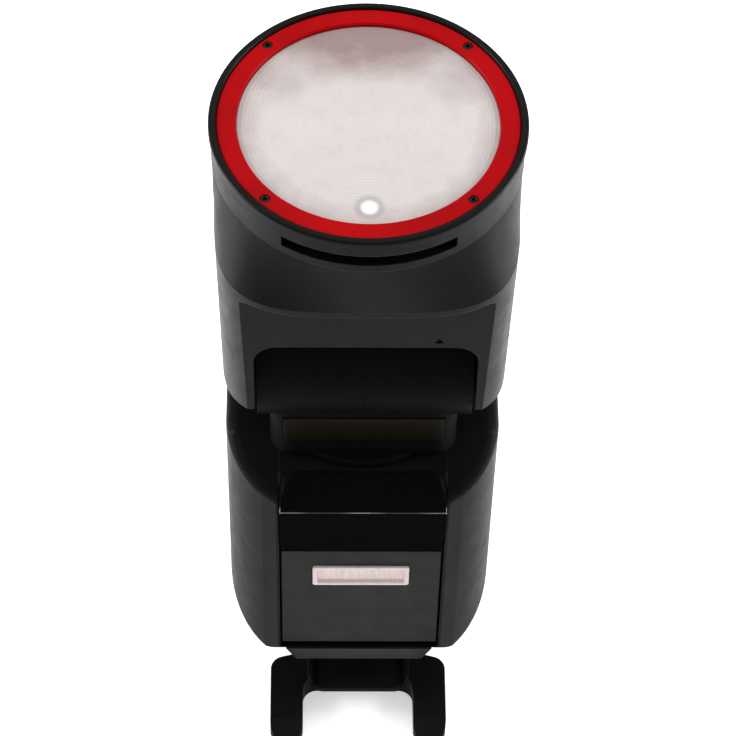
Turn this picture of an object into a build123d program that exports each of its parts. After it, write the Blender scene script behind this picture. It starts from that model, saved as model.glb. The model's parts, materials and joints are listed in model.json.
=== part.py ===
from build123d import *
import math
import os

# A round-head speedlight standing on a small cold-shoe stand, head turned straight up.
# Millimetres. Z is up and 0 is the table, -Y is the front, and the swivel axis is the Z axis.

# Head: a round barrel whose lower half is flattened at the front, around the tilt axis
head_y = 3.6                # the barrel's own axis, behind the swivel axis
lens_z = 215.0              # front face of the rim
rim_r = 38.0
lip_r = 36.1
ring_inner_r = 31.3
flange_r = 33.0
head_top_r = 37.5
head_low_r = 35.8
head_wall = 2.0
head_bottom_z = 117.0
shell_top_z = 212.6
squaring = 3.8              # exponent of the flattened sections
round_z = 204.0             # above this the head is round
square_z = 188.0            # below this it is fully squared at the front
facet_y = head_y - 31.0     # the flat on the front
facet_top_z = 186.0
facet_half = 31.4
panel_half = 11.5           # half depth of the side panels
panel_top_z = 197.0

# Tilt joint
tilt_y = -4.4
tilt_z = 145.0
barrel_r = 22.0
barrel_half = 26.9
cradle_r = 23.2
cheek_half = 27.5           # inner faces of the head's two cheeks
ear_drop = 3.8              # the ears' front corner below the tilt axis
ear_slant = 18.6            # degrees their underside falls towards the back
back_clear = 31.0           # rear slope's distance from the tilt axis
tilt_back = 30.0            # degrees the head leans back
cut_top = 21.6              # top edge of the front cut-out above the tilt axis
shaft_r = 6.0
shaft_clear = 0.06

# Neck and swivel
column_half_x = 24.0
column_half_y = 17.0
column_low_z = 113.9
turret_r = 24.6
turret_bore_r = 25.0
hub_r = 18.1
hub_clear = 0.08

# Housing
body_half = 35.8
body_low_z = 27.2
body_top_z = 112.0
body_front_y = -29.4
body_back_y = 29.0
body_wall = 2.2
body_corner = 15.0
shoulder_y = -13.0          # the shoulders slope from here down to the front
shoulder_z = 103.5
seam_y = 4.0
core_half = 21.9            # half width of the front recess
core_y = -26.2              # front wall behind the window
floor_z = 102.0             # underside of the housing's top wall
recess_z = 104.5            # floor of the turret's recess
window_half = 21.5
crease_y = -36.4
crease_z = 108.0
module_top_z = 78.0
module_low_z = 30.8
module_front_y = -28.4
module_back_y = -14.0

# Battery, in the right side
battery_y = (-8.0, 11.0)
battery_z = (48.0, 96.0)
battery_deep_x = 2.0
bay_gap = 0.35

# Rear controls
screen_half = 23.0
screen_z = (77.0, 105.0)
key_z = 70.0
key_pitch = 11.0
dial_z = 52.0
dial_r = 11.4
dial_hole_r = 6.9
side_key_x = 22.5
button_gap = 0.35
switch_x = 14.4
switch_wide = 4.0
switch_travel = 4.2

# Ports, in the left side
flap_y = (-7.0, 9.0)
flap_z = (54.0, 80.0)
flap_thick = 2.0

# Foot and stand
chin_low_z = 21.8          # underside of the foot's wide part
foot_low_z = 17.0
plate_z = (13.4, 15.4)
plate_half = 9.3
deck_z = 13.2
deck_front_y = -32.2
deck_thick = 1.8
arm_z = 9.4
rail_z = (15.55, 16.7)
rail_gap = 6.35
toe_y = -41.6
leg_outer = 24.9
leg_inner = 15.7
gap_back_y = -25.5
insert_r = 5.0
thread_r = 3.175

# Optics
carriage_z = 176.0          # bottom of the reflector
mouth_r = 26.0
reflector_deep = 18.0
rod_x = 31.0
rod_r = 1.5
screw_xy = (12.0, head_y + 27.0)
lead_r = 2.0

os.makedirs("parts", exist_ok=True)


def save(name, shape):
    """Write one sub-part."""
    export_step(shape, "parts/" + name + ".step")


def block(x, y, z):
    """Box between low and high limits on each axis."""
    centre = Pos((x[0] + x[1]) / 2, (y[0] + y[1]) / 2, (z[0] + z[1]) / 2)
    return centre * Box(x[1] - x[0], y[1] - y[0], z[1] - z[0])


def soft_block(x, y, z, radius, axis):
    """Box whose edges along one axis are rounded."""
    shape = block(x, y, z)
    return fillet(shape.edges().filter_by(axis), radius)


def rod(start, direction, radius, length):
    """Cylinder that starts at a point and runs along a direction."""
    base = Plane(origin=start, z_dir=direction)
    return base * Cylinder(radius, length, align=(Align.CENTER, Align.CENTER, Align.MIN))


def tube(start, direction, outer, inner, length):
    """Hollow cylinder."""
    return rod(start, direction, outer, length) - rod(start, direction, inner, length)


def side_prism(points, half):
    """Prism across X from an outline of (y, z) points."""
    outline = Polyline(*points, close=True)
    return extrude(Plane.YZ * make_face(outline), half, both=True)


def left_and_right(shape):
    """The shape and its mirror image across the YZ plane."""
    return shape + mirror(shape, Plane.YZ)


def about_head(points):
    """Solid turned about the head's axis from an outline of (radius, z) points."""
    outline = Polyline(*points, close=True)
    return Pos(0, head_y, 0) * revolve(Plane.XZ * make_face(outline), Axis.Z)


def at_tilt(y, z):
    """A (y, z) point given from the tilt axis."""
    return (tilt_y + y, tilt_z + z)


# ---------------------------------------------------------------- head

def head_section(z, inset):
    """Closed section of the head: round behind, squared in front as it goes down."""
    share = (z - head_bottom_z) / (shell_top_z - head_bottom_z)
    radius = head_low_r + (head_top_r - head_low_r) * share - inset
    squared = min(max((round_z - z) / (round_z - square_z), 0.0), 1.0)
    power = 2.0 + (squaring - 2.0) * squared
    points = []
    for step in range(48):
        turn = math.radians(7.5 * step)
        across, along = math.cos(turn), math.sin(turn)
        n = power if along < 0 else 2.0
        reach = radius / (abs(across) ** n + abs(along) ** n) ** (1 / n)
        points.append((reach * across, head_y + reach * along, z))
    return make_face(Spline(*points, periodic=True))


def head_form(inset):
    """Outer form of the head taken in by inset, cut to the facet, the ears and the rear slope."""
    low_z = head_bottom_z - 2
    lower = loft([head_section(z, inset) for z in (low_z, square_z)], ruled=True)
    blend = loft([head_section(z, inset) for z in (square_z, round_z)], ruled=True)
    top_r = head_top_r - inset
    upper = Pos(0, head_y, round_z) * Cylinder(
        top_r, shell_top_z - round_z, align=(Align.CENTER, Align.CENTER, Align.MIN))
    form = lower + blend + upper
    facet = extrude(Plane.XZ * RectangleRounded(2 * facet_half, 160, 4), 60)
    form -= Pos(0, facet_y + inset, facet_top_z + inset - 80) * facet
    return form & side_profile(inset)


def side_profile(inset):
    """Side outline of the head as a wide prism: slanted under the ears, sloping up behind them."""
    lean = math.radians(tilt_back)
    fall = math.tan(math.radians(ear_slant))
    front_y, far_y, above_z = -60.0, 60.0, lens_z + 5
    drop = ear_drop - inset / math.cos(math.radians(ear_slant)) - (facet_y - tilt_y) * fall
    clear = back_clear - inset
    corner_y = (clear - drop * math.cos(lean)) / (math.sin(lean) + fall * math.cos(lean))
    far = at_tilt(far_y, (far_y * math.sin(lean) - clear) / math.cos(lean))
    points = [at_tilt(front_y, -drop - front_y * fall), at_tilt(corner_y, -drop - corner_y * fall), far,
              (far[0], above_z), (tilt_y + front_y, above_z)]
    return side_prism(points, 60)


def neck_path():
    """Space the neck needs between the cheeks, over the whole tilt."""
    lean = math.radians(tilt_back)
    reach = column_half_y + 1.5
    near = at_tilt(reach * math.cos(lean), reach * math.sin(lean))
    far = at_tilt(reach * math.cos(lean) + 80 * math.sin(lean),
                  reach * math.sin(lean) - 80 * math.cos(lean))
    points = [at_tilt(-60, cut_top), at_tilt(0, cut_top), near, far, at_tilt(-60, far[1] - tilt_z)]
    path = side_prism(points, cheek_half)
    front_edges = path.edges().filter_by(Axis.Y).sort_by(Axis.Z)[-2:]
    path = fillet(front_edges, 6)
    return path + rod((-cheek_half, tilt_y, tilt_z), (1, 0, 0), cradle_r, 2 * cheek_half)


def head_pieces():
    """Shells, chassis and the parts fixed to them."""
    outer = head_form(0)
    inner = head_form(head_wall)
    path = neck_path()
    skin = outer - inner - path
    floor_level = 173.0
    half = panel_half
    gap = 0.15
    front_zone = block((-60, 60), (-60, head_y - half), (0, panel_top_z))
    front_zone += block((-60, 60), (-60, 60), (panel_top_z, lens_z + 5))
    rear_zone = block((-60, 60), (head_y + half, 80), (0, panel_top_z - 2 * gap))
    panel_zone = block((0, 60), (head_y - half + 2 * gap, head_y + half - 2 * gap), (0, panel_top_z - 2 * gap))
    front = skin & front_zone
    rear = skin & rear_zone
    panel = skin & panel_zone

    # Narrow vent across the front, just below the rim
    slot_z = (206.4, 209.6)
    slot_turn = 33.0
    wedge = [(0, 0), (-60 * math.tan(math.radians(slot_turn)), -60), (60 * math.tan(math.radians(slot_turn)), -60)]
    slot_face = make_face(Polyline(*wedge, close=True))
    front -= Pos(0, head_y, slot_z[0]) * extrude(slot_face, slot_z[1] - slot_z[0])
    pointer = make_face(Polyline((16.4, 168.4), (18.8, 168.4), (17.6, 170.6), close=True))
    front -= Pos(0, facet_y, 0) * extrude(Plane.XZ * pointer, 0.5, both=True)
    lug = block((29.0, 36.2), (head_y - 4, head_y + 4), (204.5, 208.4))
    lug -= rod((rod_x, head_y, 203), (0, 0, 1), rod_r + 0.02, 4)
    front += left_and_right(lug)
    save("head_barrel", front)
    save("head_rear_shell", rear)
    save("side_panels", left_and_right(panel))

    # Chassis: cradle round the neck's barrel, cheeks for the tilt shaft and a floor for the optics
    cradle = rod((-cheek_half - 1, tilt_y, tilt_z), (1, 0, 0), cradle_r + 2, 2 * cheek_half + 2)
    cheek = block((cheek_half, 33.4), (-60, 60), (100, floor_level - 1))
    deck = block((-60, 60), (-60, 60), (floor_level - 2, floor_level))
    chassis = head_form(head_wall + 0.1) & (cradle + left_and_right(cheek) + deck)
    chassis -= path
    chassis -= rod((-40, tilt_y, tilt_z), (1, 0, 0), shaft_r + shaft_clear, 80)
    chassis -= rod((screw_xy[0], screw_xy[1], 165), (0, 0, 1), lead_r + 0.1, 12)
    for x in (-rod_x, rod_x):
        chassis -= rod((x, head_y, floor_level - 3), (0, 0, 1), rod_r + 0.02, 6)
    save("head_chassis", chassis)

    rods = rod((rod_x, head_y, floor_level - 1.5), (0, 0, 1), rod_r, 206 - floor_level)
    save("guide_rods", left_and_right(rods))
    motor = rod((screw_xy[0], screw_xy[1], 154), (0, 0, 1), 4.0, floor_level - 2.2 - 154)
    motor -= rod((screw_xy[0], screw_xy[1], 168), (0, 0, 1), lead_r + 0.3, 6)
    save("zoom_motor", motor)
    lead = rod((screw_xy[0], screw_xy[1], 168.5), (0, 0, 1), lead_r, 35)
    save("lead_screw", lead)


def rim_pieces():
    """Rim, coloured accessory ring, lens and modelling lamp."""
    inside = flange_r + 0.1
    rim_low_z = shell_top_z + 0.1
    seat_z = 213.3
    rim_points = [
        (32.0, 208.7), (35.2, 208.7), (35.2, rim_low_z), (rim_r - 0.4, rim_low_z), (rim_r, rim_low_z + 0.4),
        (rim_r, 214.4), (rim_r - 0.25, 214.82), (rim_r - 0.7, lens_z), (lip_r + 0.3, lens_z),
        (lip_r, lens_z - 0.3), (lip_r, seat_z), (inside, seat_z), (inside, 209.5), (32.0, 209.5)]
    rim = about_head(rim_points)
    ring_points = [(ring_inner_r, seat_z + 0.05), (36.0, seat_z + 0.05), (36.0, 214.2), (35.8, 214.4),
                   (ring_inner_r + 0.4, 214.4), (ring_inner_r, 214.0)]
    ring = about_head(ring_points)
    screws = Part()
    for corner in range(4):
        turn = math.radians(45 + 90 * corner)
        x, y = 34.15 * math.cos(turn), head_y + 34.15 * math.sin(turn)
        rim -= rod((x, y, 210.4), (0, 0, 1), 0.85, 5)
        ring -= rod((x, y, 211), (0, 0, 1), 0.85, 5)
        ring -= rod((x, y, 213.3), (0, 0, 1), 1.25, 5)
        screws += rod((x, y, 210.6), (0, 0, 1), 0.8, 2.9) + rod((x, y, 213.4), (0, 0, 1), 1.2, 0.9)
    save("rim_collar", rim)
    save("accessory_ring", ring)
    save("ring_screws", screws)
    lens_points = [(0, 211.0), (30.6, 211.0), (30.6, 209.7), (flange_r, 209.7), (flange_r, seat_z - 0.1),
                   (31.15, seat_z - 0.1), (31.15, 213.6), (30.9, 213.9), (0, 213.9)]
    save("fresnel_lens", about_head(lens_points))
    lamp_y = head_y - 26.0
    lamp = rod((0, lamp_y, 205.6), (0, 0, 1), 3.9, 1.2) + Pos(0, lamp_y, 206.2) * Sphere(2.6)
    lamp -= block((-9, 9), (lamp_y - 9, lamp_y + 9), (200, 205.6))
    lamp += block((-6.5, 6.5), (lamp_y - 4.6, lamp_y + 4.6), (204.5, 205.6))
    save("modelling_lamp", lamp)


def optics():
    """Reflector, flash tube and the frame that carries them along the guide rods."""
    steps = 8
    inner = []
    for step in range(steps + 1):
        u = reflector_deep * step / steps
        inner.append((mouth_r * math.sqrt((u + 2.0) / (reflector_deep + 2.0)), carriage_z + u))
    outer = [(radius + 1.0, z) for radius, z in reversed(inner)]
    reflector = about_head(inner + outer)
    tube_z = carriage_z + 6.0
    hole = rod((-40, head_y, tube_z), (1, 0, 0), 2.75, 80)
    reflector -= hole
    save("reflector", reflector)
    save("flash_tube", rod((-25, head_y, tube_z), (1, 0, 0), 2.6, 50))
    seal = tube((21.6, head_y, tube_z), (1, 0, 0), 4.2, 2.62, 5.0)
    save("tube_seals", left_and_right(seal))
    low, high = carriage_z + 11.0, carriage_z + 13.5
    frame = about_head([(24.4, low), (28.6, low), (28.6, high), (24.4, high)])
    lug = block((28, 33.2), (head_y - 3.4, head_y + 3.4), (low, high))
    lug -= rod((rod_x, head_y, low - 1), (0, 0, 1), rod_r + 0.06, 6)
    nut = rod((screw_xy[0], screw_xy[1], low - 3), (0, 0, 1), 4.0, high - low + 3)
    frame = frame + left_and_right(lug) + nut
    frame -= rod((screw_xy[0], screw_xy[1], low - 4), (0, 0, 1), lead_r + 0.1, 10)
    clip = block((24.5, 26.4), (head_y - 5, head_y + 5), (tube_z - 5, high))
    clip -= rod((0, head_y, tube_z), (1, 0, 0), 4.25, 40)
    frame += left_and_right(clip)
    save("zoom_frame", frame)


# ---------------------------------------------------------------- neck

def neck_pieces():
    """Two neck covers, shaft, strip and the turret below them."""
    low = column_low_z
    column = soft_block((-column_half_x, column_half_x),
                        (tilt_y - column_half_y, tilt_y + column_half_y), (low, tilt_z), 5, Axis.Z)
    form = column + rod((-barrel_half, tilt_y, tilt_z), (1, 0, 0), barrel_r, 2 * barrel_half)
    wall = 2.4
    hollow = block((-column_half_x + wall, column_half_x - wall),
                   (tilt_y - column_half_y + wall, tilt_y + column_half_y - wall), (low + wall, tilt_z))
    hollow += rod((-barrel_half + wall, tilt_y, tilt_z), (1, 0, 0), barrel_r - wall, 2 * (barrel_half - wall))
    strip = block((-20.5, 20.5), (tilt_y - column_half_y - 0.3, tilt_y - column_half_y + 0.5), (120, 129))
    strip = fillet(strip.edges().filter_by(Axis.Y), 1.2)
    cover = form - hollow - rod((-40, tilt_y, tilt_z), (1, 0, 0), shaft_r + 0.02, 80)
    cover -= block((-20.6, 20.6), (-60, tilt_y - column_half_y + 0.5), (119.9, 129.1))
    cover -= rod((0, 0, low - 1), (0, 0, 1), 14.0, 5)
    right = cover & block((0.04, 60), (-60, 60), (100, 200))
    save("neck_covers", left_and_right(right))
    save("neck_strip", strip)
    save("tilt_shaft", tube((-33.2, tilt_y, tilt_z), (1, 0, 0), shaft_r, 4.2, 66.4))
    # Toothed detent discs on the shaft, just inside the barrel's ends
    disc = tube((barrel_half - wall - 1.7, tilt_y, tilt_z), (1, 0, 0), 15.0, shaft_r + 0.02, 1.6)
    for step in range(24):
        turn = math.radians(15 * step)
        disc -= rod((20, tilt_y + 15 * math.cos(turn), tilt_z + 15 * math.sin(turn)), (1, 0, 0), 1.0, 10)
    save("tilt_detents", left_and_right(disc))

    turret = rod((0, 0, 108.0), (0, 0, 1), turret_r, low - 0.1 - 108.0)
    turret = fillet(turret.edges().filter_by(GeomType.CIRCLE).sort_by(Axis.Z)[-1], 0.8)
    turret += rod((0, 0, 98.4), (0, 0, 1), hub_r, 10)
    turret -= rod((0, 0, 98), (0, 0, 1), 14.0, 20)
    turret -= tube((0, 0, 99.4), (0, 0, 1), hub_r + 1, hub_r - 1.0, 2.1)
    save("turret", turret)
    save("turret_clip", tube((0, 0, 99.5), (0, 0, 1), 21.4, hub_r - 0.9, 1.9))


# ---------------------------------------------------------------- housing

def plan_face():
    """The housing seen from above: bevelled front, round flanks, softly rounded back."""
    bevel = (26.4, -27.0)
    flank_y = -8.0
    rise = flank_y - bevel[1]
    inward = body_half - bevel[0]
    bend = (inward ** 2 + rise ** 2) / (2 * inward)
    turn = math.asin(rise / bend) / 2
    middle = (body_half - bend + bend * math.cos(turn), flank_y - bend * math.sin(turn))
    back = 14.0
    back_mid = (body_half - back + back * math.sin(math.pi / 4), body_back_y - back + back * math.sin(math.pi / 4))
    right = [
        Line((0, body_front_y), (22.6, body_front_y)),
        Line((22.6, body_front_y), bevel),
        ThreePointArc(bevel, middle, (body_half, flank_y)),
        Line((body_half, flank_y), (body_half, body_back_y - back)),
        ThreePointArc((body_half, body_back_y - back), back_mid, (body_half - back, body_back_y)),
        Line((body_half - back, body_back_y), (0, body_back_y)),
    ]
    half = make_face(right + [Line((0, body_back_y), (0, body_front_y))])
    return half + mirror(half, Plane.YZ)


def housing_form(inset):
    """Outer form of the housing taken in by inset."""
    plan = plan_face()
    if inset:
        plan = offset(plan, -inset)
    tower = extrude(plan, 200)
    width = 2 * (body_half - inset)
    high = body_top_z - body_low_z + 60
    corners = extrude(Plane.XZ * RectangleRounded(width, high, body_corner - inset), 100, both=True)
    front = Pos(0, 0, body_low_z + inset + high / 2) * corners
    slope = inset * 0.6
    points = [(body_front_y + inset, body_low_z + inset), (body_back_y - inset, body_low_z + inset),
              (body_back_y - inset, body_top_z - inset), (shoulder_y + slope, body_top_z - inset),
              (body_front_y + inset, shoulder_z)]
    outline = make_face(Polyline(*points, close=True))
    outline = fillet(outline.vertices().sort_by(Axis.Y)[0:2], 5.0 - inset)
    side = extrude(Plane.YZ * outline, 60, both=True)
    return tower & front & side


def rounded_housing():
    """Outer form of the housing with its shoulders rounded."""
    form = housing_form(0)
    shoulders = form.edges().filter_by(lambda e: e.center().Z > shoulder_z - 0.1 and e.length > 4.9)
    return fillet(shoulders, 3.0)


def shoe_pin_xy():
    """Place of the lock pin in the foot."""
    return (0.0, 0.8)


def housing_pieces():
    """Front and rear covers with their openings."""
    outer = rounded_housing()
    inner = housing_form(body_wall) & block((-60, 60), (core_y + body_wall, 60), (0, floor_z))
    front_fill = block((-core_half, core_half), (core_y, -10), (module_top_z + 1, body_top_z))
    solid = outer + front_fill
    shell = solid - inner
    # Recess in front for the window above and the small flash below
    shell -= block((-core_half, core_half), (-60, core_y), (module_top_z - 10, 130))
    shell -= block((-core_half, core_half), (-60, module_back_y - 0.4), (module_low_z - 0.4, module_top_z + 0.3))
    tray = block((-core_half - 1.6, core_half + 1.6), (core_y, module_back_y + 1.2),
                 (module_low_z - 2, module_top_z + 1.9))
    tray -= block((-core_half, core_half), (-60, module_back_y - 0.4), (module_low_z - 0.4, module_top_z + 0.3))
    shell += tray & outer
    # Turret recess and hub hole in the top
    shell -= rod((0, 0, recess_z), (0, 0, 1), turret_bore_r, 20)
    shell -= rod((0, 0, 90), (0, 0, 1), hub_r + 0.4, 30)
    # Battery bay in the right side, port recess in the left
    bay_y = (battery_y[0] - bay_gap, battery_y[1] + bay_gap)
    bay_z = (battery_z[0] - bay_gap, battery_z[1] + bay_gap)
    shell -= block((0, 60), bay_y, bay_z)
    recess = block((-60, -body_half + flap_thick + 0.3), (flap_y[0] - 0.3, flap_y[1] + 0.3),
                   (flap_z[0] - 0.3, flap_z[1] + 0.3))
    backing = block((-body_half + 0.5, -body_half + flap_thick + 1.8),
                    (flap_y[0] - 2, flap_y[1] + 2), (flap_z[0] - 2, flap_z[1] + 2))
    shell = shell + (backing & outer) - recess
    shell -= block((-40, -30), (-4.8, 4.8), (70.2, 74.0))
    shell -= rod((-40, 0, 61.5), (1, 0, 0), 3.1, 10)
    # Rear openings
    shell -= block((-screen_half, screen_half), (body_back_y - 1.8, 60), screen_z)
    shell -= block((-screen_half + 2, screen_half - 2), (10, 60), (screen_z[0] + 2, screen_z[1] - 3.5))
    for x in key_places():
        shell -= key_shape(x, key_z, button_gap, (10, 40))
    shell -= rod((0, body_back_y - 1.6, dial_z), (0, 1, 0), dial_r + 0.4, 10)
    shell -= rod((0, 10, dial_z), (0, 1, 0), dial_hole_r + 0.5, 20)
    for x, z in side_keys():
        shell -= rod((x, 10, z), (0, 1, 0), 3.6 + button_gap, 30)
    shell -= block((switch_x - 0.4, switch_x + switch_wide + switch_travel + 0.4), (10, 40), (43.8, 48.2))
    # Screw holes from the foot
    for x, y in foot_screw_places():
        shell -= rod((x, y, 20), (0, 0, 1), 1.45, 14)
    shell -= rod((shoe_pin_xy()[0], shoe_pin_xy()[1], 20), (0, 0, 1), 1.9, 20)
    front = shell & block((-60, 60), (-60, seam_y - 0.06), (0, 130))
    rear = shell & block((-60, 60), (seam_y + 0.06, 60), (0, 130))
    save("front_cover", front)
    save("rear_cover", rear)
    save("swivel_bearing", tube((0, 0, recess_z + 0.05), (0, 0, 1), turret_bore_r - 0.02, hub_r + hub_clear, 3.2))


def window_pieces():
    """Dark wedge window over the assist lamp."""
    outline = [(core_y - 0.02, 112.4), (-27.4, 112.6), (crease_y, crease_z), (module_front_y, module_top_z + 0.35),
               (core_y - 0.02, module_top_z + 0.35)]
    shape = side_prism(outline, window_half)
    corners = extrude(Plane.XZ * RectangleRounded(2 * window_half, 80, 4.5), 100, both=True)
    shape &= Pos(0, 0, 112.6 - 40) * corners
    hollow = [(core_y, 110.4), (-27.4, 110.6), (crease_y + 2.6, crease_z - 0.9), (core_y - 0.9, module_top_z + 2.4),
              (core_y, module_top_z + 2.4)]
    shape -= side_prism(hollow, window_half - 1.4)
    save("assist_window", shape)
    lamp = block((-7.3, 7.3), (core_y - 4.2, core_y - 0.05), (101.0, 107.2))
    lamp += rod((0, core_y - 4.4, 104.1), (0, -1, 0), 2.4, 1.2)
    save("assist_lamp", lamp)


def sub_flash_pieces():
    """Small clip-in flash below the window."""
    half = window_half - 0.1
    low, high = module_low_z, module_top_z
    case = block((-half, half), (module_front_y, module_back_y - 0.8), (low, high))
    chamfer = case.edges().filter_by(Axis.X).sort_by(Axis.Y)[0:2].sort_by(Axis.Z)[0]
    case = chamfer_edge(case, chamfer)
    cavity = block((-half + 1.8, half - 1.8), (module_front_y + 1.8, 0), (low + 3.6, high - 1.8))
    case -= cavity
    window_z = (62.0, 71.0)
    case -= soft_block((-13.2, 13.2), (-60, -20), window_z, 1.0, Axis.Y)
    save("sub_flash_case", case)
    lens = soft_block((-13.05, 13.05), (module_front_y - 0.6, module_front_y + 2.6),
                      (window_z[0] + 0.15, window_z[1] - 0.15), 0.9, Axis.Y)
    lens -= block((-11.4, 11.4), (module_front_y + 1.0, 0), (window_z[0] + 1.6, window_z[1] - 1.6))
    save("sub_flash_lens", lens)
    back_y = module_front_y + 8.6
    bowl = block((-12.6, 12.6), (module_front_y + 2.7, back_y), (window_z[0] + 0.2, window_z[1] - 0.2))
    throat = Plane.XZ.offset(-(module_front_y + 2.7)) * Pos(0, 66.5) * Rectangle(23.6, 7.2)
    deep = Plane.XZ.offset(-(back_y - 0.9)) * Pos(0, 66.5) * Rectangle(20.0, 3.4)
    bowl -= loft([throat, deep])
    bowl -= rod((-30, back_y - 2.6, 66.5), (1, 0, 0), 1.25, 60)
    save("sub_flash_reflector", bowl)
    save("sub_flash_tube", rod((-13.4, back_y - 2.6, 66.5), (1, 0, 0), 1.2, 26.8))


def chamfer_edge(shape, edge):
    """Slope the lower front edge of the small flash's case."""
    return chamfer(edge, 1.6, 2.6, reference=shape.faces().sort_by(Axis.Y)[0])


def key_places():
    """X of each function key."""
    return [key_pitch * (step - 1.5) for step in range(4)]


def key_shape(x, z, grow, y):
    """Rounded key, or its hole when grown."""
    return soft_block((x - 3.9 - grow, x + 3.9 + grow), y, (z - 2.3 - grow, z + 2.3 + grow), 1.5, Axis.Y)


def side_keys():
    """X and Z of the round keys beside the dial."""
    return [(-side_key_x, 57.0), (side_key_x, 59.5)]


def rear_controls():
    """Screen, keys, dial and power switch."""
    glass = block((-screen_half + 0.1, screen_half - 0.1), (body_back_y - 1.75, body_back_y - 0.2),
                  (screen_z[0] + 0.1, screen_z[1] - 0.1))
    save("screen_glass", glass)
    screen = block((-screen_half + 2.2, screen_half - 2.2), (body_back_y - 6.6, body_back_y - 1.8),
                   (screen_z[0] + 2.2, screen_z[1] - 3.7))
    save("screen_module", screen)
    key_y = (body_back_y - 5.8, body_back_y + 0.7)
    for number, x in enumerate(key_places()):
        key = key_shape(x, key_z, 0, key_y)
        key += block((x - 3.0, x + 3.0), (key_y[0], key_y[0] + 1.2), (key_z - 3.4, key_z + 3.4))
        save("function_key_" + str(number + 1), key)
    dial = tube((0, body_back_y - 1.4, dial_z), (0, 1, 0), dial_r, dial_hole_r, 3.4)
    dial = fillet(dial.edges().filter_by(GeomType.CIRCLE).sort_by(Axis.Y)[-2:], 0.7)
    for step in range(36):
        turn = math.radians(10 * step)
        place = (dial_r * math.cos(turn), body_back_y - 2, dial_z + dial_r * math.sin(turn))
        dial -= rod(place, (0, 1, 0), 0.45, 6)
    save("control_dial", dial)
    set_key = rod((0, body_back_y - 5.6, dial_z), (0, 1, 0), dial_hole_r - 1.0, 7.7)
    set_key = fillet(set_key.edges().filter_by(GeomType.CIRCLE).sort_by(Axis.Y)[-1], 0.8)
    save("set_button", set_key)
    names = ("menu_button", "test_button")
    for name, (x, z) in zip(names, side_keys()):
        key = rod((x, body_back_y - 5.6, z), (0, 1, 0), 3.6, 6.4)
        save(name, fillet(key.edges().filter_by(GeomType.CIRCLE).sort_by(Axis.Y)[-1], 0.6))
    inner_y = body_back_y - 4.4
    slider = block((switch_x, switch_x + switch_wide), (inner_y, body_back_y + 0.9), (44.2, 47.8))
    slider += block((switch_x, switch_x + switch_wide + 0.8), (inner_y, inner_y + 1.6), (42.6, 49.4))
    for share in (0.3, 0.5, 0.7):
        x = switch_x + share * switch_wide
        slider -= block((x - 0.2, x + 0.2), (body_back_y + 0.5, 40), (40, 50))
    save("power_switch", slider)


def inner_parts():
    """Boards, capacitor, transformer and sockets inside the housing."""
    board = block((-30.4, 30.4), (body_back_y - 9.6, body_back_y - 8.0), (38, 98))
    save("main_board", board)
    can = rod((-14.8, -1.0, 47), (0, 0, 1), 10.8, 46)
    save("main_capacitor", fillet(can.edges().filter_by(GeomType.CIRCLE), 1.2))
    coil = soft_block((-13, 3), (-11, 5), (33.4, 45.4), 2, Axis.Z)
    save("charging_transformer", coil)
    port_x = -body_half + flap_thick + 0.1
    usb = block((port_x, port_x + 7), (-4.5, 4.5), (70.5, 73.7))
    usb -= block((-40, port_x + 5), (-3.7, 3.7), (71.2, 73.0))
    save("usb_port", usb)
    jack = tube((port_x, 0, 61.5), (1, 0, 0), 3.0, 1.3, 7)
    save("sync_jack", jack)
    flap = block((-body_half, -body_half + flap_thick), flap_y, flap_z)
    save("port_cover", flap)
    battery = block((battery_deep_x, 60), battery_y, battery_z) & housing_form(0)
    latch_z = (83.0, 92.0)
    battery -= block((body_half - 2.9, 60), (-2.4, 5.4), latch_z)
    save("battery", battery)
    latch = block((body_half - 2.7, body_half - 0.1), (-2.1, 5.1), (86.6, 91.7))
    for z in (88.0, 89.2, 90.4):
        latch -= block((body_half - 0.5, 40), (-3, 6), (z - 0.3, z + 0.3))
    save("battery_latch", latch)
    contact = block((0.3, 1.6), (-1.2, 1.2), (55, 60))
    contacts = Part()
    for z in (0, 8, 16, 24):
        contacts += Pos(0, 1.5, z) * contact
    save("battery_contacts", contacts)


# ---------------------------------------------------------------- foot and stand

def foot_screw_places():
    """X and Y of the four screws that hold the foot to the housing."""
    return [(x, y) for x in (-13.5, 13.5) for y in (-12.0, 12.0)]


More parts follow.
